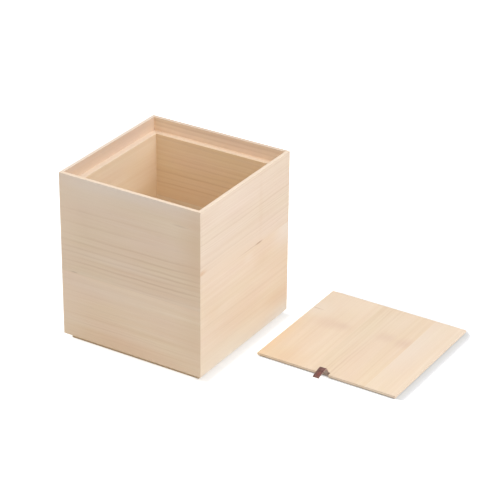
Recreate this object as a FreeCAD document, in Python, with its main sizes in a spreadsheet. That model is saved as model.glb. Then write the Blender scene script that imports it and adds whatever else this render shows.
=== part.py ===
import FreeCAD, Part
import math
import os

import Sketcher

# A square storage box of paulownia boards with a drop-in lid, which lies on the table beside it.
# Lengths are in millimetres. X is the width, Y the depth with the front at -Y, and Z is up.
# The origin is the middle of the face that the box stands on.
#
# Each wall is an outer layer of two boards, mitred at the corners, over a lining of two boards.
# The lining stops short of the rim, so that its top edge is the ledge that the lid drops onto.
# The floor is fixed under the walls and set in, so that it drops inside the rim of a box below.

SHEET = "Sizes"

SIZES = {
    # Outer boards of the walls
    "box_width": 300,
    "box_depth": 300,
    "wall_height": 328,
    "wall_thickness": 7,
    "corner_round_share": 0.17,
    "edge_round_share": 0.1,
    # Seams between upper and lower boards, as shares of the height down from the top
    "front_wall_seam_share": 0.593,
    "side_wall_seam_share": 0.432,
    "front_lining_seam_share": 0.42,
    "side_lining_seam_share": 0.58,
    # Lining, with the ledge this far below the rim
    "lining_thickness": 12,
    "ledge_drop": 27,
    # Floor, with its seams as shares of its depth from the front
    "floor_thickness": 12,
    "stack_clearance": 4,
    "floor_front_seam_share": 0.36,
    "floor_back_seam_share": 0.7,
    "floor_bevel_share": 0.1,
    # Lid, with its seams as shares of its width from the left
    "lid_thickness": 8.5,
    "lid_side_clearance": 0.5,
    "lid_front_clearance": 3.5,
    "lid_left_seam_share": 0.39,
    "lid_right_seam_share": 0.785,
    "lid_bevel_share": 0.47,
    "lid_round_share": 0.06,
    # Where the lid lies: its gap from the box's side, and how far its front is behind the box's
    "lid_gap": 34.3,
    "lid_setback": 137,
    # Leather tab: glued under the lid, up through a notch, over in an arch and down
    "tab_width": 13,
    "tab_thickness": 2,
    "tab_offset": 2.5,
    "tab_tail_length": 25,
    "tab_bend_inside": 1,
    "tab_arch_radius": 18,
    "tab_droop_radius": 12,
    "tab_droop_angle": 25,
    "tab_straight": 13,
    # Room round the tab: in its housing, in its notch, over the lid and where it flexes
    "housing_clearance": 0.2,
    "notch_clearance": 2.5,
    "notch_depth": 8,
    "notch_round_share": 0.25,
    "tab_lift_clearance": 0.5,
    "tab_flex_clearance": 0.4,
}

# Two points closer than this are the same point.
MATCH = 1e-4


def size(name):
    """The expression that reads one size from the sheet."""
    return f"{SHEET}.{name}"


HALF_WIDTH = f"({size('box_width')} / 2)"
HALF_DEPTH = f"({size('box_depth')} / 2)"
WALL = size("wall_thickness")
CORNER_ROUND = f"({WALL} * {size('corner_round_share')})"
EDGE_ROUND = f"({WALL} * {size('edge_round_share')})"
LINING_HEIGHT = f"({size('wall_height')} - {size('ledge_drop')})"
FLOOR_INSET = f"({WALL} + {size('stack_clearance')})"

LID_WIDTH = f"({size('box_width')} - 2 * ({WALL} + {size('lid_side_clearance')}))"
LID_DEPTH = f"({size('box_depth')} - 2 * ({WALL} + {size('lid_front_clearance')}))"
LID_THICKNESS = size("lid_thickness")

# The sides of the box in order, each a quarter turn on from the last: the middle of its outer face,
# half its length, and which of the seam shares it has.
QUARTER_TURN_ANGLE = 90
SIDES = {
    "front": (0, f"-{HALF_DEPTH}", HALF_WIDTH, "front"),
    "right": (HALF_WIDTH, 0, HALF_DEPTH, "side"),
    "back": (0, HALF_DEPTH, HALF_WIDTH, "front"),
    "left": (f"-{HALF_WIDTH}", 0, HALF_DEPTH, "side"),
}

# The tab sits a little left of the lid's middle.
TAB_MIDDLE = f"(-{size('tab_offset')})"

# The tab's centre line in its side view: Y into the lid and Z up, from the lid's lower front edge.
HALF_TAB = f"({size('tab_thickness')} / 2)"
TAIL_Z = f"({size('housing_clearance')} + {HALF_TAB})"
BEND_RADIUS = f"({size('tab_bend_inside')} + {HALF_TAB})"
BEND_CENTRE = (size("notch_depth"), f"({TAIL_Z} + {BEND_RADIUS})")
ARCH_RADIUS = size("tab_arch_radius")
ARCH_CENTRE = (f"({BEND_CENTRE[0]} - {BEND_RADIUS} - {ARCH_RADIUS})", BEND_CENTRE[1])
DROOP_RADIUS = size("tab_droop_radius")
DROOP_CENTRE = (ARCH_CENTRE[0], f"({ARCH_CENTRE[1]} + {ARCH_RADIUS} - {DROOP_RADIUS})")
DROOP_END = f"(90 + {size('tab_droop_angle')})"
FLEX_Z = f"({LID_THICKNESS} + {HALF_TAB} + {size('tab_lift_clearance')})"
FLEX_ANGLE = f"asin(({FLEX_Z} - {ARCH_CENTRE[1]}) / {ARCH_RADIUS})"
TAIL_ANGLE = f"({FLEX_ANGLE} - asin(({HALF_TAB} + {size('tab_flex_clearance')}) / {ARCH_RADIUS}))"


def make_sheet(doc):
    """Writes each driving size into the sheet, on a row of its own under its own alias."""
    sheet = doc.addObject("Spreadsheet::Sheet", SHEET)
    for row, (name, value) in enumerate(SIZES.items(), start=1):
        sheet.set(f"A{row}", name)
        sheet.set(f"B{row}", str(value))
        sheet.setAlias(f"B{row}", name)
    doc.recompute()


def make_body(doc, name, x, y, z, turn=0):
    """An empty body under its own label, placed by expressions and turned about Z by degrees."""
    body = doc.addObject("PartDesign::Body", name)
    body.Label = name
    body.setExpression("Placement", f"placement(vector({x}; {y}; {z}); rotation(vector(0; 0; 1); {turn}))")
    return body


def make_sketch(body, name, role):
    """An empty sketch on one of the body's own origin planes."""
    sketch = body.newObject("Sketcher::SketchObject", f"{body.Label}_{name}")
    plane = next(item for item in body.Origin.OriginFeatures if item.Role == role)
    sketch.AttachmentSupport = [(plane, "")]
    sketch.MapMode = "FlatFace"
    return sketch


def bind(sketch, kind, target, expression):
    """Adds one dimension to a sketch and ties it to an expression."""
    value = float(sketch.evalExpression(expression))
    index = sketch.addConstraint(Sketcher.Constraint(kind, *target, value))
    sketch.setExpression(f"Constraints[{index}]", expression)


def arc_middle(start, end, radius, side):
    """The middle of the shorter arc between two points, which bulges to one side of the way there."""
    chord = end - start
    half = chord.Length / 2
    rise = radius - math.sqrt(max(radius ** 2 - half ** 2, 0))
    outward = FreeCAD.Vector(chord.y, -chord.x, 0).normalize() * rise
    return start + chord / 2 + (outward if side == "right" else -outward)


def add_run(sketch, start, end, bend):
    """Adds a straight run, or an arc where it has a bend, and returns it with its first and last ends."""
    if not bend:
        return sketch.addGeometry(Part.LineSegment(start, end)), 1, 2
    radius, side = bend
    middle = arc_middle(start, end, float(sketch.evalExpression(radius)), side)
    arc = sketch.addGeometry(Part.Arc(start, middle, end))
    bind(sketch, "Radius", (arc,), radius)
    if sketch.getPoint(arc, 1).isEqual(start, MATCH):
        return arc, 1, 2
    return arc, 2, 1


def draw(sketch, outline):
    """Draws a closed outline, each point of which is tied to the sheet.

    A point is (x, y), or (x, y, radius, side) where the run that leaves it bends and bulges to that side.
    """
    points = [FreeCAD.Vector(*(float(sketch.evalExpression(f"{value}")) for value in point[:2]), 0)
              for point in outline]
    runs = [add_run(sketch, start, end, point[2:])
            for point, start, end in zip(outline, points, points[1:] + points[:1])]
    for (run, _, last), (follower, first, _) in zip(runs, runs[1:] + runs[:1]):
        sketch.addConstraint(Sketcher.Constraint("Coincident", run, last, follower, first))
    for point, (run, first, _) in zip(outline, runs):
        bind(sketch, "DistanceX", (-1, 1, run, first), f"{point[0]}")
        bind(sketch, "DistanceY", (-1, 1, run, first), f"{point[1]}")


def rectangle(left, right, front, back):
    """The outline of a rectangle between four expressions."""
    return [(left, front), (right, front), (right, back), (left, back)]


def pad(body, role, outline, length):
    """Pads an outline upward from the level plane, or to both sides of an upright one."""
    sketch = make_sketch(body, "outline", role)
    draw(sketch, outline)
    feature = body.newObject("PartDesign::Pad", f"{body.Label}_pad")
    feature.Profile = sketch
    feature.SideType = "One side" if role == "XY_Plane" else "Symmetric"
    feature.setExpression("Length", length)
    body.Document.recompute()


def pocket(body, name, outline, depth):
    """Cuts an outline upward out of the body's underside."""
    sketch = make_sketch(body, name, "XY_Plane")
    draw(sketch, outline)
    before = body.Shape.Volume
    feature = body.newObject("PartDesign::Pocket", f"{body.Label}_{name}_pocket")
    feature.Profile = sketch
    feature.Reversed = True
    feature.setExpression("Length", depth)
    body.Document.recompute()
    if body.Shape.Volume >= before:
        raise RuntimeError(f"{feature.Label} cuts nothing")


def keeps_to(edge, board, side):
    """Whether an edge's box stays at one side of the board's box, such as YMin, and doesn't cross it."""
    axis = side[0]
    limit = getattr(board, side)
    reach = getattr(board, f"{axis}Length") / 2
    return all(abs(getattr(edge, end) - limit) < reach for end in (f"{axis}Min", f"{axis}Max"))


def ease(body, kind, amount, level, sides):
    """Rounds (Fillet) or bevels (Chamfer) the edges at one level of a board that keep to the given sides."""
    base = body.Tip
    board = base.Shape.BoundBox
    chosen = [f"Edge{number}" for number, edge in enumerate(base.Shape.Edges, start=1)
              if keeps_to(edge.BoundBox, board, level)
              and any(keeps_to(edge.BoundBox, board, side) for side in sides)]
    feature = body.newObject(f"PartDesign::{kind}", f"{body.Label}_{kind.lower()}")
    feature.Base = (base, chosen)
    feature.setExpression("Radius" if kind == "Fillet" else "Size", amount)
    body.Document.recompute()
    if body.Shape.Volume >= base.Shape.Volume:
        raise RuntimeError(f"{feature.Label} removes nothing")


def outer_outline(half):
    """Plan of an outer board: mitred ends, and half of each rounded corner of the box."""
    round_inset = f"{CORNER_ROUND} * (1 - sin(45))"
    return [
        (f"{CORNER_ROUND} - {half}", 0),
        (f"{half} - {CORNER_ROUND}", 0, CORNER_ROUND, "right"),
        (f"{half} - {round_inset}", round_inset),
        (f"{half} - {WALL}", WALL),
        (f"{WALL} - {half}", WALL),
        (f"{round_inset} - {half}", round_inset, CORNER_ROUND, "right"),
    ]


def lining_outline(half):
    """Plan of a lining board, against the inner face of the outer boards."""
    inner = f"({WALL} + {size('lining_thickness')})"
    return [
        (f"{WALL} - {half}", WALL),
        (f"{half} - {WALL}", WALL),
        (f"{half} - {inner}", inner),
        (f"{inner} - {half}", inner),
    ]


def make_layer(doc, layer, height, outline_of):
    """Both boards on each side of one layer of the walls, with the seam at that side's share."""
    bodies = []
    for quarter, (side, (x, y, half, seam)) in enumerate(SIDES.items()):
        upper = f"({height} * {size(f'{seam}_{layer}_seam_share')})"
        lower = f"({height} - {upper})"
        floor = size("floor_thickness")
        for level, z, board in (("lower", floor, lower), ("upper", f"{floor} + {lower}", upper)):
            body = make_body(doc, f"{side}_{layer}_{level}", x, y, z, quarter * QUARTER_TURN_ANGLE)
            pad(body, "XY_Plane", outline_of(half), board)
            bodies.append(body)
    return bodies


def make_walls(doc):
    """The outer boards, eased round the rim inside and out and round the bottom outside."""
    bodies = make_layer(doc, "wall", size("wall_height"), outer_outline)
    for lower, upper in zip(bodies[::2], bodies[1::2]):
        ease(lower, "Fillet", EDGE_ROUND, "ZMin", ("YMin",))
        ease(upper, "Fillet", EDGE_ROUND, "ZMax", ("YMin", "YMax"))
    return bodies


def make_lining(doc):
    """The lining boards, eased along the inner edge of the ledge."""
    bodies = make_layer(doc, "lining", LINING_HEIGHT, lining_outline)
    for upper in bodies[1::2]:
        ease(upper, "Fillet", EDGE_ROUND, "ZMax", ("YMax",))
    return bodies


def make_floor(doc):
    """Three boards side by side from front to back, bevelled round the bottom."""
    half_width = f"({HALF_WIDTH} - {FLOOR_INSET})"
    half_depth = f"({HALF_DEPTH} - {FLOOR_INSET})"
    seams = [f"(2 * {half_depth} * {size(f'floor_{place}_seam_share')} - {half_depth})"
             for place in ("front", "back")]
    bevel = f"{size('floor_thickness')} * {size('floor_bevel_share')}"
    boards = {
        "front": (f"-{half_depth}", seams[0], ("XMin", "XMax", "YMin")),
        "middle": (seams[0], seams[1], ("XMin", "XMax")),
        "back": (seams[1], half_depth, ("XMin", "XMax", "YMax")),
    }
    bodies = []
    for place, (front, back, sides) in boards.items():
        body = make_body(doc, f"floor_{place}", 0, 0, 0)
        pad(body, "XY_Plane", rectangle(f"-{half_width}", half_width, front, back), size("floor_thickness"))
        ease(body, "Chamfer", bevel, "ZMin", sides)
        bodies.append(body)
    return bodies


def make_lid_body(doc, name, across=0):
    """An empty body some way across from the lid's own origin, the middle of its lower front edge."""
    x = f"{HALF_WIDTH} + {size('lid_gap')} + {LID_WIDTH} / 2 + {across}"
    y = f"{size('lid_setback')} - {HALF_DEPTH}"
    return make_body(doc, name, x, y, 0)


def make_lid(doc):
    """Three boards side by side from left to right, rounded above and bevelled below."""
    seams = [f"(({size(f'lid_{place}_seam_share')} - 0.5) * {LID_WIDTH})" for place in ("left", "right")]
    boards = {
        "left": (f"-{LID_WIDTH} / 2", seams[0], ("XMin", "YMin", "YMax")),
        "middle": (seams[0], seams[1], ("YMin", "YMax")),
        "right": (seams[1], f"{LID_WIDTH} / 2", ("XMax", "YMin", "YMax")),
    }
    bodies = []
    for place, (left, right, sides) in boards.items():
        body = make_lid_body(doc, f"lid_{place}")
        pad(body, "XY_Plane", rectangle(left, right, 0, LID_DEPTH), LID_THICKNESS)
        ease(body, "Fillet", f"{LID_THICKNESS} * {size('lid_round_share')}", "ZMax", sides)
        ease(body, "Chamfer", f"{LID_THICKNESS} * {size('lid_bevel_share')}", "ZMin", sides)
        bodies.append(body)
    cut_for_tab(bodies[1])
    return bodies


def cut_for_tab(board):
    """Cuts the notch that the tab comes up through, and the housing that its tail is glued into."""
    depth = size("notch_depth")
    half_notch = f"({size('tab_width')} / 2 + {size('notch_clearance')})"
    left, right = f"{TAB_MIDDLE} - {half_notch}", f"{TAB_MIDDLE} + {half_notch}"
    corner = f"({depth} * {size('notch_round_share')})"
    notch = [
        (left, 0),
        (right, 0),
        (right, f"{depth} - {corner}", corner, "right"),
        (f"{right} - {corner}", depth),
        (f"{left} + {corner}", depth, corner, "right"),
        (left, f"{depth} - {corner}"),
    ]
    pocket(board, "notch", notch, LID_THICKNESS)
    half_housing = f"({size('tab_width')} / 2 + {size('housing_clearance')})"
    end = f"{depth} + {size('tab_tail_length')} + {size('housing_clearance')}"
    housing = rectangle(f"{TAB_MIDDLE} - {half_housing}", f"{TAB_MIDDLE} + {half_housing}", 0, end)
    pocket(board, "housing", housing, f"{size('housing_clearance')} + {size('tab_thickness')}")


def on_arc(centre, radius, angle, *bend):
    """A point at an angle up from the Y axis on an arc, with the bend of the run that leaves it."""
    return (f"{centre[0]} + ({radius}) * cos({angle})", f"{centre[1]} + ({radius}) * sin({angle})", *bend)


def tail_outline():
    """Side view of the tail: flat in the housing, up through the notch and into the start of the arch."""
    end = f"{size('notch_depth')} + {size('tab_tail_length')}"
    near = f"{ARCH_RADIUS} - {HALF_TAB}"
    far = f"{ARCH_RADIUS} + {HALF_TAB}"
    return [
        (end, f"{TAIL_Z} + {HALF_TAB}"),
        (BEND_CENTRE[0], f"{TAIL_Z} + {HALF_TAB}", size("tab_bend_inside"), "left"),
        on_arc(ARCH_CENTRE, far, "0", far, "right"),
        on_arc(ARCH_CENTRE, far, TAIL_ANGLE),
        on_arc(ARCH_CENTRE, near, TAIL_ANGLE, near, "left"),
        on_arc(ARCH_CENTRE, near, "0", f"{BEND_RADIUS} + {HALF_TAB}", "right"),
        (BEND_CENTRE[0], f"{TAIL_Z} - {HALF_TAB}"),
        (end, f"{TAIL_Z} - {HALF_TAB}"),
    ]


def tab_outline():
    """Side view of the free part: a round end where it flexes, the arch, the droop and a square tip."""
    near = f"{ARCH_RADIUS} - {HALF_TAB}"
    far = f"{ARCH_RADIUS} + {HALF_TAB}"
    droop_near = f"{DROOP_RADIUS} - {HALF_TAB}"
    droop_far = f"{DROOP_RADIUS} + {HALF_TAB}"
    straight = size("tab_straight")
    far_end = on_arc(DROOP_CENTRE, droop_far, DROOP_END)
    near_end = on_arc(DROOP_CENTRE, droop_near, DROOP_END)
    run = (f"{straight} * sin({DROOP_END})", f"{straight} * cos({DROOP_END})")
    flex = on_arc(ARCH_CENTRE, ARCH_RADIUS, FLEX_ANGLE)
    root = (f"{flex[0]} + {HALF_TAB} * sin({FLEX_ANGLE})", f"{flex[1]} - {HALF_TAB} * cos({FLEX_ANGLE})")
    return [
        (*root, HALF_TAB, "right"),
        on_arc(ARCH_CENTRE, far, FLEX_ANGLE, far, "right"),
        on_arc(DROOP_CENTRE, droop_far, "90", droop_far, "right"),
        far_end,
        (f"{far_end[0]} - {run[0]}", f"{far_end[1]} + {run[1]}"),
        (f"{near_end[0]} - {run[0]}", f"{near_end[1]} + {run[1]}"),
        (*near_end, droop_near, "left"),
        on_arc(DROOP_CENTRE, droop_near, "90", near, "left"),
        on_arc(ARCH_CENTRE, near, FLEX_ANGLE, HALF_TAB, "right"),
    ]


def make_tab(doc):
    """The strap's two lengths: the tail that stays with the lid, and the part that lifts."""
    bodies = []
    for name, outline in (("pull_tab_tail", tail_outline()), ("pull_tab", tab_outline())):
        body = make_lid_body(doc, name, TAB_MIDDLE)
        pad(body, "YZ_Plane", outline, size("tab_width"))
        bodies.append(body)
    return bodies


def check(doc, bodies):
    """Stops if any object failed, or if a sub-part isn't one valid solid."""
    for item in doc.Objects:
        if {"Invalid", "Error"} & set(item.State):
            raise RuntimeError(f"{item.Label} failed: {item.State}")
    for body in bodies:
        if body.Shape.isNull() or not body.Shape.isValid() or len(body.Shape.Solids) != 1:
            raise RuntimeError(f"{body.Label} isn't one valid solid")


def main():
    """Builds the document, checks it and writes one file for each sub-part."""
    os.makedirs("parts", exist_ok=True)
    doc = FreeCAD.newDocument("paulownia_box")
    make_sheet(doc)
    bodies = make_walls(doc) + make_lining(doc) + make_floor(doc) + make_lid(doc) + make_tab(doc)
    doc.recompute()
    check(doc, bodies)
    for body in bodies:
        body.Shape.exportStep(f"parts/{body.Label}.step")
        print(f"{body.Label}: {body.Shape.Volume:.0f} mm3")


main()
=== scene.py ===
"""Looks of a paulownia storage box with its lid beside it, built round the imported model."""

import logging
import math
from dataclasses import dataclass, replace
from enum import Enum
from typing import Any, Iterable, Sequence

import bpy
from mathutils import Matrix, Vector


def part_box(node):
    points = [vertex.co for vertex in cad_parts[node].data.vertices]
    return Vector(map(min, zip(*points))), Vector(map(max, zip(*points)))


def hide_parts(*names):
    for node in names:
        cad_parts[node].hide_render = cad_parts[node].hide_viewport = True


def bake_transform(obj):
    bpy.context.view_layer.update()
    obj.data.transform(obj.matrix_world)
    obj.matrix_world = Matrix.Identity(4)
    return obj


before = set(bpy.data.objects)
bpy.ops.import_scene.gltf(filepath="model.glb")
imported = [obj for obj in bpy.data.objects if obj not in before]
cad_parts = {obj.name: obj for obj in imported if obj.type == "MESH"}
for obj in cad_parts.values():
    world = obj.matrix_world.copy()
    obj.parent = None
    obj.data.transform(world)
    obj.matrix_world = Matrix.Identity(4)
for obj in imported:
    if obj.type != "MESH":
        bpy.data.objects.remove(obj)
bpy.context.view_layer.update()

log = logging.getLogger("paulownia_box")

Tree = bpy.types.NodeTree
Socket = bpy.types.NodeSocket
Outputs = bpy.types.NodeOutputs

MM = 0.001
MATH = "ShaderNodeMath"
VECTORS = "ShaderNodeVectorMath"
RANGE = "ShaderNodeMapRange"
TIMES = {"operation": "MULTIPLY"}
TIMES_PLUS = {"operation": "MULTIPLY_ADD"}
EASED = {"interpolation_type": "SMOOTHSTEP"}
COLOURS = {"data_type": "RGBA"}
STRAP_MAP = "strap_map"
WHITE = (1.0, 1.0, 1.0, 1.0)
BLACK = (0.0, 0.0, 0.0, 1.0)
# Half size, in millimetres, of a patch that goes right through what it is on.
FAR = 1.0e6
# A typical value for wood and for leather.
IOR = 1.5


def linear(colour: str) -> tuple[float, float, float, float]:
    """Turns an sRGB hex colour into the linear values that a shader socket takes.

    Args:
        colour: six hex digits after a hash sign.

    Returns:
        Red, green, blue and an alpha of 1.
    """
    channels = (int(colour[place : place + 2], 16) / 255 for place in (1, 3, 5))
    red, green, blue = (
        value / 12.92 if value <= 0.04045 else ((value + 0.055) / 1.055) ** 2.4 for value in channels
    )
    return red, green, blue, 1.0


def add(
    tree: Tree, kind: str, settings: dict[str, Any], inputs: dict[int | str, Any], output: int | str = 0
) -> Socket:
    """Adds one node with its settings, its values and its links.

    Args:
        tree: the tree that gets the node.
        kind: Blender's name for the node's type.
        settings: attributes of the node itself.
        inputs: for each input, by name or place, either a socket to link or a value.
        output: name or place of the output wanted.

    Returns:
        The wanted output socket, or the first input of a node that has no outputs.
    """
    node = tree.nodes.new(kind)
    for name, value in settings.items():
        setattr(node, name, value)
    for key, value in inputs.items():
        if isinstance(value, Socket):
            tree.links.new(value, node.inputs[key])
        else:
            node.inputs[key].default_value = value
    return node.outputs[output] if len(node.outputs) else node.inputs[0]


def cleared(made: bpy.types.Material | bpy.types.World) -> Tree:
    """Empties the tree of a new material or world, and gives it."""
    made.use_nodes = True
    made.node_tree.nodes.clear()
    return made.node_tree


def placed(name: str, data: bpy.types.ID) -> bpy.types.Object:
    """Puts a new object into the scene.

    Args:
        name: the object's name.
        data: its mesh, lamp or camera.

    Returns:
        The object.
    """
    piece = bpy.data.objects.new(name, data)
    bpy.context.scene.collection.objects.link(piece)
    return piece


def summed(tree: Tree, start: Any, parts: Iterable[tuple[Socket, float]]) -> Any:
    """Adds up several levels, each times its own amount.

    Args:
        tree: the tree that gets the sum.
        start: the sum where every level is 0.
        parts: each level with its amount.

    Returns:
        The sum.
    """
    total: Any = start
    for level, amount in parts:
        total = add(tree, MATH, TIMES_PLUS, {0: level, 1: amount, 2: total})
    return total


def layered(tree: Tree, ground: Any, layers: Iterable[tuple[Socket, str]]) -> Any:
    """Lays colours over a ground, each by its own share.

    Args:
        tree: the material's tree.
        ground: the colour below, as a socket or linear values.
        layers: share and hex colour of each layer, the lowest first.

    Returns:
        The colour on top.
    """
    for share, tint in layers:
        ground = add(tree, "ShaderNodeMix", COLOURS, {0: share, 6: ground, 7: linear(tint)}, 2)
    return ground


def off_centre(tree: Tree, place: Socket, centre: tuple[float, float], half: tuple[float, float]) -> Socket:
    """Measures how far a place is from the middle of an oval patch.

    Args:
        tree: the material's tree.
        place: the place, in millimetres.
        centre: the patch's middle.
        half: half of its length and width.

    Returns:
        The distance, 0 in the middle and 1 on the patch's edge.
    """
    patch = {"Vector": place, "Location": (*centre, 0.0), "Scale": (*half, FAR)}
    around = add(tree, "ShaderNodeMapping", {"vector_type": "TEXTURE"}, patch)
    return add(tree, VECTORS, {"operation": "LENGTH"}, {0: around}, "Value")


@dataclass(frozen=True)
class PaintedCreviceShade:
    """Painted shade: darkens a surface where another surface is within reach, which is in metres, as shade
    falls in crevices and where parts meet.
    """

    colour: str
    reach: float
    most: float
    starts: float = 0.75
    full: float = 0.3
    samples: int = 8

    def share(self, tree: Tree) -> Socket:
        """Finds the places that are nearly closed in.

        Args:
            tree: the material's tree.

        Returns:
            The share of the painted shade's colour.
        """
        rays = {"samples": self.samples}
        open_share = add(tree, "ShaderNodeAmbientOcclusion", rays, {"Distance": self.reach}, "AO")
        closing = {"Value": open_share, "From Min": self.starts, "From Max": self.full, "To Max": self.most}
        return add(tree, RANGE, {}, closing)


class Grain(Enum):
    """How a board lies: rows that turn the object's axes into along, across and through the board."""

    UPRIGHT_X = ((1, 0, 0), (0, 0, 1), (0, -1, 0))
    UPRIGHT_Y = ((0, 1, 0), (0, 0, 1), (1, 0, 0))
    FLAT_X = ((1, 0, 0), (0, 1, 0), (0, 0, 1))
    FLAT_Y = ((0, 1, 0), (1, 0, 0), (0, 0, -1))


class Seam(Enum):
    """Which long edges of a board are glued to its neighbours, as shares of its width."""

    LOW = (0.0,)
    HIGH = (1.0,)
    BOTH = (0.0, 1.0)


@dataclass(frozen=True)
class RingLine:
    """One year's ring where it comes to the surface, in millimetres from the board's low edge."""

    place: float
    strength: float
    width: float = 6.2
    rise_share: float = 0.3

    def stops(self) -> tuple[tuple[float, float], ...]:
        """Gives the places where the ring starts, is strongest and has faded, each with its level."""
        start = self.place - self.rise_share * self.width
        return (start, 0.0), (self.place, self.strength), (start + self.width, 0.0)


def ring_lines(*rows: tuple[float, ...]) -> tuple[RingLine, ...]:
    """Makes ring lines from rows of place, strength and, where it isn't the usual one, width."""
    return tuple(RingLine(*row) for row in rows)


@dataclass(frozen=True)
class Mark:
    """A soft patch in the wood, such as a stain, a pale figure or a patch of painted shade, in millimetres
    from the low corner.
    """

    along: float
    across: float
    half_length: float
    half_width: float
    colour: str
    strength: float
    core: float = 0.05
    raggedness: float = 0.14

    def share(self, tree: Tree, place: Socket, ragged: Socket) -> Socket:
        """Works out how much of the patch shows.

        Args:
            tree: the material's tree.
            place: place in the board, in millimetres.
            ragged: streaks that break up the patch's outline.

        Returns:
            The share of the patch's colour.
        """
        away = off_centre(tree, place, (self.along, self.across), (self.half_length, self.half_width))
        edge = {0: ragged, 1: self.raggedness, 2: away}
        uneven = add(tree, MATH, TIMES_PLUS, edge)
        shown = {"Value": uneven, "From Min": self.core, "To Min": self.strength, "To Max": 0.0}
        return add(tree, RANGE, EASED, shown)


def patches(*rows: tuple[Any, ...]) -> tuple[Mark, ...]:
    """Makes marks from rows of place, half size, colour and strength."""
    return tuple(Mark(*row) for row in rows)


@dataclass(frozen=True)
class Streaks:
    """Unevenness drawn out along the grain: its length and width in millimetres, and its detail."""

    length: float
    width: float
    detail: float = 1.0

    def level(self, tree: Tree, place: Socket) -> Socket:
        """Adds the streaks to a tree.

        Args:
            tree: the grain's tree.
            place: place in the board, in millimetres.

        Returns:
            Their level, mostly from -1 to 1.
        """
        size = (self.length, self.width, self.width)
        scaled = add(tree, VECTORS, {"operation": "DIVIDE"}, {0: place, 1: size})
        noise = add(tree, "ShaderNodeTexNoise", {}, {"Vector": scaled, "Scale": 1.0, "Detail": self.detail})
        spread = {"Value": noise, "From Min": 0.25, "From Max": 0.75, "To Min": -1.0, "To Max": 1.0}
        return add(tree, RANGE, {"clamp": False}, spread)


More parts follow.
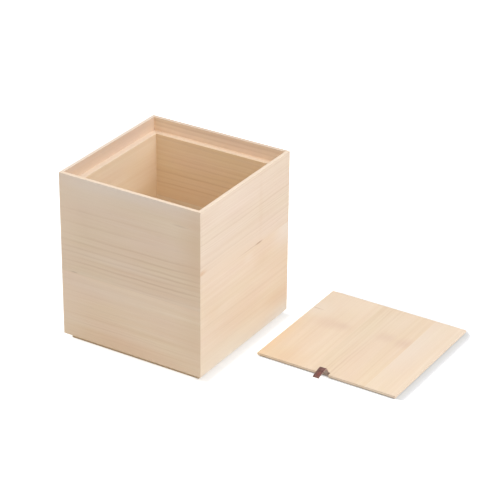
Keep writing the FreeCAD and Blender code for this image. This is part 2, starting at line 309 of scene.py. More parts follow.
@dataclass(frozen=True)
class PaulowniaGrain:
    """The solid pattern that every board shares, so that its rings run on over edges and ends.

    Paulownia's fibres are about 0.03 mm wide, and the pores of its spring wood 0.3 mm. Both are too
    fine for the picture, so both are drawn coarser: the fibres 3.4 mm wide and the pores 0.9 mm.
    """

    name: str = "paulownia_grain"
    fibre: Streaks = Streaks(120.0, 3.4, 3.0)
    band: Streaks = Streaks(480.0, 15.0, 2.0)
    tone: Streaks = Streaks(210.0, 95.0)
    blush: Streaks = Streaks(130.0, 48.0)
    pores: Streaks = Streaks(13.0, 0.9)
    ring_fade: Streaks = Streaks(150.0, 12.0)
    bends: tuple[tuple[Streaks, float], ...] = ((Streaks(360.0, 90.0), 2.6), (Streaks(55.0, 11.0), 0.8))
    seed_step: tuple[float, float, float] = (311.0, 173.0, 97.0)
    blush_step: tuple[float, float, float] = (531.0, 77.0, 209.0)
    year_seed: float = 17.0
    years_alike: float = 0.23
    years_differ: float = 2.4
    faintest_year: float = 0.15
    spring_wood: float = 3.0
    spring_most: float = 0.5
    late_from: float = 0.35

    def rings(self, tree: Tree, entry: Outputs, bent: Socket, seeded: Socket) -> dict[str, Socket]:
        """Draws the years, which are never quite alike, and whose lines come and go.

        Args:
            tree: the grain's tree.
            entry: the tree's inputs.
            bent: place in the straight trunk, which the grain's tilt and bends lead to.
            seeded: place in the board, moved by its seed.

        Returns:
            The levels of spring wood, late wood and pores, by the names of the tree's outputs.
        """
        flat = add(tree, VECTORS, TIMES, {0: bent, 1: (0.0, 1.0, 1.0)})
        heart = {0: flat, 1: entry["Centre of tree"]}
        radius = add(tree, VECTORS, {"operation": "DISTANCE"}, heart, "Value")
        years = add(tree, MATH, {"operation": "DIVIDE"}, {0: radius, 1: entry["Ring width"]})
        slowly = {0: years, 1: self.years_alike, 2: entry["Seed"]}
        spread = add(tree, MATH, TIMES_PLUS, slowly)
        line = {"W": spread, "Scale": 1.0, "Detail": 1.0}
        uneven = add(tree, "ShaderNodeTexNoise", {"noise_dimensions": "1D"}, line)
        ring = summed(tree, years, ((uneven, self.years_differ),))
        share = add(tree, MATH, {"operation": "FRACT"}, {0: ring})
        index = add(tree, MATH, {"operation": "FLOOR"}, {0: ring})
        year = summed(tree, index, ((entry["Seed"], self.year_seed),))
        luck = add(tree, "ShaderNodeTexWhiteNoise", {"noise_dimensions": "1D"}, {"W": year})
        weight = add(tree, RANGE, {}, {"Value": luck, "To Min": self.faintest_year, "To Max": 1.0})
        thick = add(tree, MATH, {"operation": "DIVIDE"}, {0: self.spring_wood, 1: entry["Ring width"]})
        thin = add(tree, MATH, {"operation": "MINIMUM"}, {0: thick, 1: self.spring_most})
        start = {"Value": share, "From Min": 0.0, "From Max": thin, "To Min": 1.0, "To Max": 0.0}
        early = add(tree, RANGE, EASED, start)
        level = self.ring_fade.level(tree, seeded)
        lasting = {"Value": level, "From Min": -0.7, "From Max": 0.7, "To Min": 0.3}
        faded = {0: early, 1: add(tree, RANGE, {}, lasting)}
        spring = add(tree, MATH, TIMES, faded)
        ripe = {"Value": share, "From Min": self.late_from, "From Max": 1.0}
        late = add(tree, RANGE, EASED, ripe)
        open_pores = {"Value": self.pores.level(tree, seeded), "From Min": 0.35, "From Max": 0.9}
        dashes = add(tree, RANGE, {}, open_pores)
        thinning = {"Value": share, "From Min": 0.0, "From Max": 0.8, "To Min": 1.0, "To Max": 0.25}
        crowd = add(tree, RANGE, {}, thinning)
        pairs = {"Ring": (spring, weight), "Late wood": (late, weight), "Pores": (dashes, crowd)}
        return {
            name: add(tree, MATH, TIMES, {0: level, 1: times})
            for name, (level, times) in pairs.items()
        }

    def build(self) -> Tree:
        """Makes the pattern.

        Returns:
            A node group that takes a place in a board, in millimetres, and gives the parts of its grain.
        """
        tree = bpy.data.node_groups.new(self.name, "ShaderNodeTree")
        face = tree.interface
        for name in ("Place", "Centre of tree"):
            face.new_socket(name, in_out="INPUT", socket_type="NodeSocketVector")
        for name in ("Ring width", "Rise", "Seed"):
            face.new_socket(name, in_out="INPUT", socket_type="NodeSocketFloat")
        entry = tree.nodes.new("NodeGroupInput").outputs
        seed = {0: self.seed_step, "Scale": entry["Seed"]}
        shift = add(tree, VECTORS, {"operation": "SCALE"}, seed)
        seeded = add(tree, VECTORS, {"operation": "ADD"}, {0: entry["Place"], 1: shift})
        aside = add(tree, VECTORS, {"operation": "ADD"}, {0: seeded, 1: self.blush_step})
        tilt = {"Vector": entry["Place"], "Angle": entry["Rise"]}
        turned = add(tree, "ShaderNodeVectorRotate", {"rotation_type": "Z_AXIS"}, tilt)
        wander = summed(tree, 0.0, ((streaks.level(tree, seeded), amount) for streaks, amount in self.bends))
        push = add(tree, "ShaderNodeCombineXYZ", {}, {"Y": wander})
        bent = add(tree, VECTORS, {"operation": "ADD"}, {0: turned, 1: push})
        parts = {
            "Across": add(tree, "ShaderNodeSeparateXYZ", {}, {0: bent}, "Y"),
            "Fibre": self.fibre.level(tree, seeded),
            "Band": self.band.level(tree, seeded),
            "Tone": self.tone.level(tree, seeded),
            "Blush": self.blush.level(tree, aside),
            **self.rings(tree, entry, bent, seeded),
        }
        for name in parts:
            face.new_socket(name, in_out="OUTPUT", socket_type="NodeSocketFloat")
        leave = tree.nodes.new("NodeGroupOutput").inputs
        for name, socket in parts.items():
            tree.links.new(socket, leave[name])
        return tree


@dataclass(frozen=True)
class PlanedPaulownia:
    """Paulownia, planed and left bare.

    The wood is pale and even, with straight rings that show as thin brown lines where each spring's
    large pores begin. Planing leaves it smooth and dull, with no film over the pores.
    """

    ground: str
    seed: float
    grain: Grain = Grain.FLAT_X
    seam: Seam = Seam.BOTH
    ring_width: float = 12.0
    ring_strength: float = 0.12
    ring_colour: str = "#B0803A"
    rise: float = 0.0
    tree_centre: tuple[float, float] = (-70.0, 60.0)
    lines: tuple[RingLine, ...] = ()
    line_strength: float = 0.28
    line_start: float = 1.0
    line_end: float = 1.0
    line_wear: tuple[float, float] = (1.1, 0.4)
    marks: tuple[Mark, ...] = ()
    drift: tuple[tuple[str, float], ...] = (
        ("Tone", 0.014),
        ("Band", 0.02),
        ("Fibre", 0.019),
        ("Late wood", -0.02),
        ("Pores", -0.05),
    )
    fading: tuple[tuple[str, float], ...] = (
        ("Tone", -0.05),
        ("Band", -0.05),
        ("Fibre", -0.05),
        ("Late wood", 0.05),
    )
    relief: tuple[tuple[str, float], ...] = (("Pores", -0.8), ("Ring", -0.6), ("Fibre", 0.35))
    blush: float = 0.006
    glue_colour: str = "#A07A58"
    glue_strength: float = 0.1
    glue_half: float = 0.55
    end_colour: str = "#B99470"
    end_strength: float = 0.2
    # Colour of the faces along the long edges, which are the rims and the ledge: painted light where it is
    # paler than the ground, painted shade where it is darker.
    edge_light_and_shade_colour: str = ""
    square_from: float = 0.75
    square_by: float = 0.95
    roughness: float = 0.62
    fibre_dulls: float = 0.05
    end_dulls: float = 0.3
    # Painted shade in crevices and where the board comes close to another surface; none if not given.
    crevice_shade: PaintedCreviceShade | None = None

    def place(self, tree: Tree, node: str) -> tuple[Socket, Vector]:
        """Maps the object's space to millimetres along, across and through the board.

        Args:
            tree: the material's tree.
            node: the CAD node, whose box gives the board's low corner and size.

        Returns:
            The place in the board, and the board's size in the same order.
        """
        turn = Matrix(self.grain.value)
        low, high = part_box(node)
        first, last = turn @ low / MM, turn @ high / MM
        corner = Vector(map(min, first, last))
        size = Vector(map(max, first, last)) - corner
        spot = add(tree, "ShaderNodeTexCoord", {}, {}, "Object")
        turned = {"Vector": spot, "Scale": (1 / MM,) * 3, "Rotation": turn.to_euler(), "Location": -corner}
        return add(tree, "ShaderNodeMapping", {}, turned), size

    def facing(self, tree: Tree, axis: int, most: float) -> Socket:
        """Finds the surfaces that face along one of the board's own axes.

        Args:
            tree: the material's tree.
            axis: 0 for the ends, 1 for the long edges.
            most: share given to a surface that faces straight along the axis.

        Returns:
            The share, 0 on the board's faces.
        """
        normal = add(tree, "ShaderNodeTexCoord", {}, {}, "Normal")
        sides = {0: normal, 1: self.grain.value[axis]}
        along = add(tree, VECTORS, {"operation": "DOT_PRODUCT"}, sides, "Value")
        square = add(tree, MATH, {"operation": "ABSOLUTE"}, {0: along})
        turning = {"Value": square, "From Min": self.square_from, "From Max": self.square_by, "To Max": most}
        return add(tree, RANGE, {}, turning)

    def drawn_lines(self, tree: Tree, grain: Outputs, along: Socket, size: Vector) -> Socket:
        """Draws the board's chosen rings: each starts sharply and fades within its width.

        Args:
            tree: the material's tree.
            grain: outputs of the shared grain pattern.
            along: place along the board, in millimetres.
            size: the board's size.

        Returns:
            How much of a ring line shows, from 0 to about 1.
        """
        position = add(tree, MATH, {"operation": "DIVIDE"}, {0: grain["Across"], 1: size.y})
        shade = add(tree, "ShaderNodeValToRGB", {}, {"Fac": position})
        ramp = shade.node.color_ramp
        ramp.interpolation = "EASE"
        ramp.elements.remove(ramp.elements[1])
        ramp.elements[0].color = BLACK
        for line in sorted(self.lines, key=lambda one: one.place):
            for place, level in line.stops():
                share = min(1.0, max(0.0, place / size.y))
                ramp.elements.new(share).color = (level, level, level, 1.0)
        ends = {"Value": along, "From Max": size.x, "To Min": self.line_start, "To Max": self.line_end}
        grown = add(tree, RANGE, {}, ends)
        drawn = add(tree, MATH, TIMES, {0: shade, 1: grown})
        bold, faint = self.line_wear
        wear = {"Value": grain["Tone"], "From Min": -0.7, "From Max": 0.7, "To Min": bold, "To Max": faint}
        worn = add(tree, RANGE, {}, wear)
        return add(tree, MATH, TIMES, {0: drawn, 1: worn})

    def colour(self, tree: Tree, place: Socket, size: Vector, grain: Outputs, end_grain: Socket) -> Socket:
        """Builds the colour: ground, drift, rings, patches, glue lines, painted light and shade on the long
        edges, ends and painted shade in crevices.

        Args:
            tree: the material's tree.
            place: place in the board, in millimetres.
            size: the board's size.
            grain: outputs of the shared grain pattern.
            end_grain: share of end grain, 0 on the faces.

        Returns:
            The colour.
        """
        split = add(tree, "ShaderNodeSeparateXYZ", {}, {0: place}).node.outputs
        wood = {
            "Color": linear(self.ground),
            "Hue": summed(tree, 0.5, ((grain["Blush"], self.blush),)),
            "Saturation": summed(tree, 1.0, ((grain[name], amount) for name, amount in self.fading)),
            "Value": summed(tree, 1.0, ((grain[name], amount) for name, amount in self.drift)),
        }
        rings = [(grain["Ring"], self.ring_strength)]
        if self.lines:
            rings.append((self.drawn_lines(tree, grain, split["X"], size), self.line_strength))
        layers = [(summed(tree, 0.0, rings), self.ring_colour)]
        layers += [(mark.share(tree, place, grain["Band"]), mark.colour) for mark in self.marks]
        for edge in self.seam.value:
            band = {0: split["Y"], 1: edge * size.y, 2: self.glue_half}
            near = add(tree, MATH, {"operation": "COMPARE"}, band)
            layers.append((summed(tree, 0.0, ((near, self.glue_strength),)), self.glue_colour))
        # painted light and shade on the rims and the ledge
        if self.edge_light_and_shade_colour:
            layers.append((self.facing(tree, 1, 1.0), self.edge_light_and_shade_colour))
        layers.append((end_grain, self.end_colour))
        # painted shade in crevices and contacts
        if self.crevice_shade:
            layers.append((self.crevice_shade.share(tree), self.crevice_shade.colour))
        return layered(tree, add(tree, "ShaderNodeHueSaturation", {}, wood), layers)

    def material(self, node: str) -> bpy.types.Material:
        """Builds the board's material.

        Args:
            node: the CAD node that the board is.

        Returns:
            The finished material.
        """
        made = bpy.data.materials.new(f"planed_paulownia_{node}")
        tree = cleared(made)
        pattern = PaulowniaGrain()
        place, size = self.place(tree, node)
        board = {
            "Place": place,
            "Centre of tree": (0.0, *self.tree_centre),
            "Ring width": self.ring_width,
            "Rise": self.rise,
            "Seed": self.seed,
        }
        shared = {"node_tree": bpy.data.node_groups.get(pattern.name) or pattern.build()}
        grain = add(tree, "ShaderNodeGroup", shared, board).node.outputs
        end_grain = self.facing(tree, 0, self.end_strength)
        dulled = (grain["Fibre"], self.fibre_dulls), (end_grain, self.end_dulls)
        height = summed(tree, 0.0, ((grain[name], amount) for name, amount in self.relief))
        bump = add(tree, "ShaderNodeBump", {}, {"Height": height, "Strength": 0.35, "Distance": 0.12 * MM})
        skin = {
            "Base Color": self.colour(tree, place, size, grain, end_grain),
            "Roughness": summed(tree, self.roughness, dulled),
            "Normal": bump,
            "IOR": IOR,
            "Specular IOR Level": 0.3,
        }
        surface = add(tree, "ShaderNodeBsdfPrincipled", {}, skin)
        add(tree, "ShaderNodeOutputMaterial", {}, {"Surface": surface})
        return made


@dataclass(frozen=True)
class CowhideSide:
    """One side of a strap of dyed, vegetable-tanned cowhide, with its sizes in millimetres.

    The grain side is smooth and brown with fine creases, and has a redder patch near the tip that is partly
    wear where fingers pinch it and partly a painted highlight. The flesh side is fuzzy and greyer, and the
    cut edges are raw and paler. One class gives all three.
    Cowhide's creases lie about 0.3 mm apart and its fuzz is finer still. Both are too fine for the
    picture, so both are drawn coarser: the creases by the pebble's size, and the fuzz at 0.45 mm.
    """

    name: str
    colour: str
    deep_colour: str
    tint_patch_colour: str
    # Strength of the tinted patch; on the grain side it is partly wear and partly a painted highlight.
    worn: float
    burnish: float
    pebble: float
    roughness: float
    nap: float
    tint_patch_place: tuple[float, float] = (-1.8, 66.5)
    tint_patch_size: tuple[float, float] = (4.5, 9.0)
    tint_patch_core: float = 0.1
    half_width: float = 6.5
    rim: float = 2.2
    crease_width: float = 0.16
    crease_dark: float = 0.22
    crease_dull: float = 0.15
    crease_deep: float = 0.7
    clouds_per_mm: float = 0.16
    fuzz_per_mm: float = 2.2
    # Painted shade where the strap comes close to the lid or to itself.
    crevice_shade: PaintedCreviceShade = PaintedCreviceShade("#2E211B", 4.0 * MM, 1.0)

    def tint_patch_share(self, tree: Tree, place: Socket) -> Socket:
        """Works out how much of the side's tinted patch shows; on the grain side it is partly wear and
        partly a painted highlight.

        Args:
            tree: the material's tree.
            place: millimetres across and along the strap.

        Returns:
            The share of the patch's colour.
        """
        away = off_centre(tree, place, self.tint_patch_place, self.tint_patch_size)
        shown = {"Value": away, "From Min": self.tint_patch_core, "To Min": self.worn, "To Max": 0.0}
        return add(tree, RANGE, EASED, shown)

    def material(self) -> bpy.types.Material:
        """Builds the side's material from its own UV map, in millimetres across and along the strap.

        Returns:
            The finished material.
        """
        made = bpy.data.materials.new(self.name)
        tree = cleared(made)
        place = add(tree, "ShaderNodeUVMap", {"uv_map": STRAP_MAP}, {})
        pebbles = {"Vector": place, "Scale": 1 / self.pebble, "Randomness": 1.0}
        cells = add(tree, "ShaderNodeTexVoronoi", {"feature": "DISTANCE_TO_EDGE"}, pebbles)
        between = {"Value": cells, "From Max": self.crease_width, "To Min": 1.0, "To Max": 0.0}
        crease = add(tree, RANGE, {}, between)
        clouds = {"Vector": place, "Scale": self.clouds_per_mm, "Detail": 3.0}
        cloud = add(tree, "ShaderNodeTexNoise", {}, clouds)
        cloudy = add(tree, RANGE, {}, {"Value": cloud, "From Min": 0.35, "From Max": 0.65})
        fuzzy = {"Vector": place, "Scale": self.fuzz_per_mm, "Detail": 3.0}
        fuzz = add(tree, "ShaderNodeTexNoise", {}, fuzzy)
        across = add(tree, "ShaderNodeSeparateXYZ", {}, {0: place})
        aside = add(tree, MATH, {"operation": "ABSOLUTE"}, {0: across})
        inner = self.half_width - self.rim
        rising = {"Value": aside, "From Min": inner, "From Max": self.half_width, "To Max": self.burnish}
        layers = (
            (cloudy, self.deep_colour),
            # tinted patch, on the grain side partly a painted highlight
            (self.tint_patch_share(tree, place), self.tint_patch_colour),
            (summed(tree, 0.0, ((crease, self.crease_dark), (fuzz, self.nap))), self.deep_colour),
            (add(tree, RANGE, EASED, rising), self.deep_colour),
            # painted shade where the strap nears the lid
            (self.crevice_shade.share(tree), self.crevice_shade.colour),
        )
        height = summed(tree, 0.0, ((crease, -self.crease_deep), (fuzz, self.nap * 2)))
        bump = add(tree, "ShaderNodeBump", {}, {"Height": height, "Strength": 0.5, "Distance": 0.15 * MM})
        skin = {
            "Base Color": layered(tree, linear(self.colour), layers),
            "Roughness": summed(tree, self.roughness, ((crease, self.crease_dull),)),
            "Normal": bump,
            "IOR": IOR,
            "Specular IOR Level": 0.4,
        }
        surface = add(tree, "ShaderNodeBsdfPrincipled", {}, skin)
        add(tree, "ShaderNodeOutputMaterial", {}, {"Surface": surface})
        return made


# The redder patch near the tip is partly wear and partly a painted highlight.
GRAIN_SIDE = CowhideSide(
    "cowhide_grain_side", "#86605A", "#5E3B35", "#9A4A42", worn=0.6, burnish=0.55, pebble=0.9,
    roughness=0.5, nap=0.08,
)
FLESH_SIDE = CowhideSide(
    "cowhide_flesh_side", "#D6C3B5", "#A89488", "#E6CCC4", worn=0.8, burnish=0.2, pebble=2.5,
    roughness=0.85, nap=0.4, tint_patch_place=(0.0, 47.0), tint_patch_size=(20.0, 7.0),
)
CUT_EDGE = CowhideSide(
    "cowhide_cut_edge", "#D3B1A6", "#AD867B", "#4E302D", worn=1.0, burnish=0.0, pebble=1.6, roughness=0.75,
    nap=0.3, tint_patch_place=(0.0, 77.0), tint_patch_size=(20.0, 5.0),
)

LID_BOARD = PlanedPaulownia(
    "#F6E1C9",
    seed=9.9,
    ring_strength=0.07,
    ring_colour="#B98A66",
    glue_colour="#FFF2E0",
    glue_strength=0.3,
    end_colour="#D0BCA8",
    # Painted contact shade on the lid's bevel and lower edges, where it sits on the floor.
    crevice_shade=PaintedCreviceShade("#54463B", 6.0 * MM, 0.8),
)

# Paler long-edge colours paint light on the rims and the left ledge; darker ones paint shade on the back rim
# and the back ledge.
BOARDS: dict[str, PlanedPaulownia] = {
    "front_wall_upper": PlanedPaulownia(
        "#F1D9BF", glue_strength=0.04, edge_light_and_shade_colour="#F7E1C9", seed=1.3, ring_width=19.0, ring_strength=0.07,
        rise=-0.02, tree_centre=(230.0, 40.0), line_start=0.7,
        lines=ring_lines(
            (2.0, 0.5), (13.5, 0.6), (22.5, 1.0, 5.5), (31.5, 0.55), (40.5, 0.9), (51.0, 0.8), (63.5, 0.9),
            (77.0, 0.8), (101.0, 0.5), (127.0, 0.5),
        ),
        marks=patches(
            (258.0, 157.0, 26.0, 3.0, "#A98462", 0.2), (27.0, 1.5, 12.0, 1.8, "#A98462", 0.4),
            (150.0, 200.0, 260.0, 44.0, "#F1E5DA", 0.65), (0.0, 100.0, 60.0, 160.0, "#FAE2C8", 0.5),
            (300.0, 110.0, 66.0, 160.0, "#E6C6A4", 0.55), (60.0, 180.0, 110.0, 70.0, "#FCECDC", 0.35),
            (130.0, 45.0, 160.0, 14.0, "#F8E6D4", 0.35),
        ),
    ),
    "front_wall_lower": PlanedPaulownia(
        "#F6DDC2", seed=2.7, glue_strength=0.04, ring_width=15.0, ring_strength=0.08, line_strength=0.24,
        rise=-0.006, tree_centre=(-60.0, 30.0),
        lines=ring_lines(
            (12.0, 0.3, 4.0), (20.0, 0.3, 4.0), (33.0, 0.4, 4.6), (48.0, 0.3, 4.6), (58.0, 0.25, 4.0),
            (70.0, 0.2, 4.6), (95.0, 0.25, 5.0), (117.0, 0.35, 4.6),
        ),
        marks=patches(
            (80.0, 114.0, 170.0, 30.0, "#F6E2D0", 0.4), (130.0, 4.0, 240.0, 34.0, "#EFCBA6", 0.45),
            (0.0, 60.0, 60.0, 120.0, "#FAE2C8", 0.45), (300.0, 80.0, 80.0, 100.0, "#EBCEAE", 0.45),
        ),
    ),
    "right_wall_upper": PlanedPaulownia(
        "#F1DDC9", glue_strength=0.05, line_strength=0.24, edge_light_and_shade_colour="#F6E2CC", seed=4.1, ring_width=6.0,
        ring_strength=0.2, tree_centre=(-220.0, 12.0),
        lines=ring_lines(
            (20.0, 0.25, 4.2), (25.5, 0.25, 4.2), (33.0, 0.3, 4.2), (50.0, 0.35, 4.6), (74.0, 0.3, 4.2),
            (93.0, 0.25, 4.2), (113.5, 0.35, 4.6),
        ),
        marks=patches(
            (90.0, -30.0, 240.0, 95.0, "#F4DDC6", 1.0), (2.0, 21.5, 25.0, 6.5, "#D9A468", 0.4),
            (200.0, 70.0, 10.0, 105.0, "#E2C3A4", 0.14), (194.0, 0.4, 17.0, 2.0, "#A5652F", 0.58),
            (162.0, 0.5, 50.0, 1.4, "#B98A5C", 0.3),
        ),
    ),
    "right_wall_lower": PlanedPaulownia(
        "#F2DBC2", seed=6.2, glue_strength=0.05, line_strength=0.24, ring_width=12.0, ring_strength=0.08,
        tree_centre=(-90.0, 30.0),
        lines=ring_lines(
            (38.0, 0.2, 9.0), (66.0, 0.25, 6.0), (95.0, 0.3, 4.6), (117.0, 0.3, 7.0), (141.0, 0.25, 5.0),
            (168.0, 0.35, 4.6),
        ),
        marks=patches(
            (194.0, 185.9, 17.0, 1.8, "#A5652F", 0.4), (158.0, 171.0, 24.0, 15.0, "#FAEADB", 0.3),
            (205.0, 150.0, 45.0, 22.0, "#E8C9A6", 0.25), (140.0, 4.0, 220.0, 62.0, "#F8EAD6", 0.7),
            (285.0, 0.0, 120.0, 34.0, "#F6EBDF", 0.68), (292.0, 180.0, 70.0, 60.0, "#F6E9DC", 0.7),
            (120.0, 0.0, 220.0, 8.0, "#F5EADC", 0.5), (255.0, 50.0, 60.0, 22.0, "#E8C8A2", 0.25),
            (40.0, 110.0, 45.0, 22.0, "#E8C8A2", 0.2),
        ),
    ),
    "back_wall_upper": PlanedPaulownia(
        "#FBE2C8", edge_light_and_shade_colour="#E6D0BB", seed=3.3, ring_width=13.0, ring_strength=0.14,
        tree_centre=(-80.0, 25.0),
        lines=ring_lines(
            (60.0, 0.4), (84.0, 0.5), (121.0, 0.4), (150.0, 0.5), (170.0, 0.35), (178.0, 0.5), (186.5, 0.6),
        ),
    ),
    "left_wall_lower": PlanedPaulownia(
        "#ECD5BF", seed=3.6, ring_width=13.0, ring_strength=0.1, tree_centre=(-70.0, 30.0),
    ),
    "left_wall_upper": PlanedPaulownia(
        "#EBD3BE", edge_light_and_shade_colour="#F2E0CE", seed=6.6, ring_width=15.0, ring_strength=0.06,
        tree_centre=(-90.0, 20.0),
    ),
    "left_lining_upper": PlanedPaulownia(
        "#F5E0C5", edge_light_and_shade_colour="#F7E3CE", seed=4.6, ring_width=18.0, ring_strength=0.05,
        tree_centre=(-120.0, 20.0),
        # Darker patches that paint the shade on the inside face of the box.
        marks=patches(
            (262.0, 62.0, 110.0, 66.0, "#E2C49C", 0.62), (245.0, 104.0, 120.0, 44.0, "#E4C8A4", 0.4),
            (165.0, 56.0, 90.0, 56.0, "#E4C8A4", 0.36),
        ),
    ),
    "back_lining_upper": PlanedPaulownia(
        "#F9DFBD", edge_light_and_shade_colour="#ECD5BC", seed=5.4, ring_width=14.0, ring_strength=0.09, line_strength=0.24,
        rise=0.01, tree_centre=(-90.0, 25.0),
        lines=ring_lines(
            (29.0, 0.55, 5.0), (40.0, 0.35), (54.0, 0.6), (66.0, 0.45), (78.0, 0.5), (88.0, 0.4),
            (97.0, 0.35), (108.0, 0.3), (119.0, 0.4),
        ),
        marks=patches((262.0, 172.0, 130.0, 46.0, "#FDEFE0", 0.85)),
    ),
    "lid_left": replace(
        LID_BOARD, ground="#F9E3C9", seed=7.7, ring_width=16.0, tree_centre=(-20.0, -60.0),
        lines=ring_lines((41.0, 0.25, 3.6), (47.0, 0.3, 3.6), (61.0, 0.35, 3.6), (84.0, 0.2, 5.0)),
        marks=patches(
            (165.0, 66.0, 32.0, 60.0, "#E6C4AE", 0.3), (169.0, 84.0, 18.0, 24.0, "#D6B39F", 0.14),
            (254.0, 40.0, 64.0, 84.0, "#FFECD8", 0.45), (202.0, 8.0, 46.0, 56.0, "#FFF0E0", 0.5),
            (60.0, 0.0, 150.0, 30.0, "#F8D29E", 0.32), (10.0, 50.0, 60.0, 80.0, "#F5D3A4", 0.24),
            (203.0, 8.0, 1.8, 22.0, "#BE9068", 0.42),
        ),
    ),
    "lid_middle": replace(
        LID_BOARD, ground="#F6E0C6", seed=8.2, ring_width=15.0, tree_centre=(160.0, -50.0), line_end=0.6,
        lines=ring_lines(
            (9.0, 0.45, 5.0), (15.5, 0.3, 4.0), (21.5, 0.65, 5.0), (28.0, 0.3, 4.0), (37.0, 0.7, 5.6),
            (44.0, 0.35, 4.4), (70.0, 0.2, 5.0),
        ),
        marks=patches(
            (174.0, 62.0, 26.0, 28.0, "#E3C1AD", 0.3), (172.0, 100.0, 28.0, 24.0, "#E0BDAA", 0.36),
            (240.0, 50.0, 50.0, 50.0, "#FCEBD8", 0.2),
        ),
    ),
    "lid_right": replace(
        LID_BOARD, glue_colour="#FFF2E2", glue_strength=0.35, ring_width=11.0, ring_strength=0.08,
        tree_centre=(-60.0, -60.0),
        marks=patches((170.0, 6.0, 150.0, 50.0, "#F8E8D9", 0.55)),
    ),
}


@dataclass
class BoardSet:
    """Every board of one sub-assembly, each a CAD board that gets its finish here."""

    name_part: str
    ground: str
    ring_width: float = 12.0
    grains: tuple[Grain, Grain] = (Grain.FLAT_X, Grain.FLAT_X)
    seeds: int = 89
    first_seed: float = 10.0
    trees: int = 7
    nearest_tree: float = 60.0
    tree_step: float = 12.0
    tree_depth: float = 30.0

    def finish_of(self, node: str) -> PlanedPaulownia:
        """Finds a board's finish, whose grain and glued edges follow from the board's name.

        Args:
            node: the CAD node that the board is.

        Returns:
            The finish chosen for the board, or the set's usual one with its own place in a tree.
        """
        seed = sum(map(ord, node)) % self.seeds + self.first_seed
        away = self.nearest_tree + seed % self.trees * self.tree_step
        usual = PlanedPaulownia(
            self.ground, seed, ring_width=self.ring_width, tree_centre=(-away, self.tree_depth)
        )
        seam = Seam.HIGH if node.endswith(("lower", "front", "left")) else Seam.LOW
        return replace(
            BOARDS.get(node, usual),
            grain=self.grains[0 if node.startswith(("front", "back")) else 1],
            seam=Seam.BOTH if node.endswith("middle") else seam,
        )

    def dress(self) -> None:
        """Gives every board of the set its material."""
        for name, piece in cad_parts.items():
            if self.name_part in name:
                piece.data.materials.clear()
                piece.data.materials.append(self.finish_of(name).material(name))
                log.info("board %s dressed", name)


@dataclass
class OuterShell(BoardSet):
    """The eight mitred boards that show from outside."""

    name_part: str = "_wall_"
    ground: str = "#F2DABF"
    grains: tuple[Grain, Grain] = (Grain.UPRIGHT_X, Grain.UPRIGHT_Y)


@dataclass
class Lining(OuterShell):
    """The eight boards inside the shell, which stand as its boards do and carry the lid."""

    name_part: str = "_lining_"
    ground: str = "#F6E1C6"


@dataclass
class Floor(BoardSet):
    """The three boards that close the box and stand on the table."""

    name_part: str = "floor_"
    ground: str = "#EBD1AC"
    ring_width: float = 16.0


@dataclass
class Lid(BoardSet):
    """The three boards of the loose lid."""

    name_part: str = "lid_"
    ground: str = LID_BOARD.ground
    grains: tuple[Grain, Grain] = (Grain.FLAT_Y, Grain.FLAT_Y)


@dataclass(frozen=True)
class Run:
    """One stretch of the strap: its length in millimetres, and how far it turns on the way, in degrees."""

    length: float
    turn: float


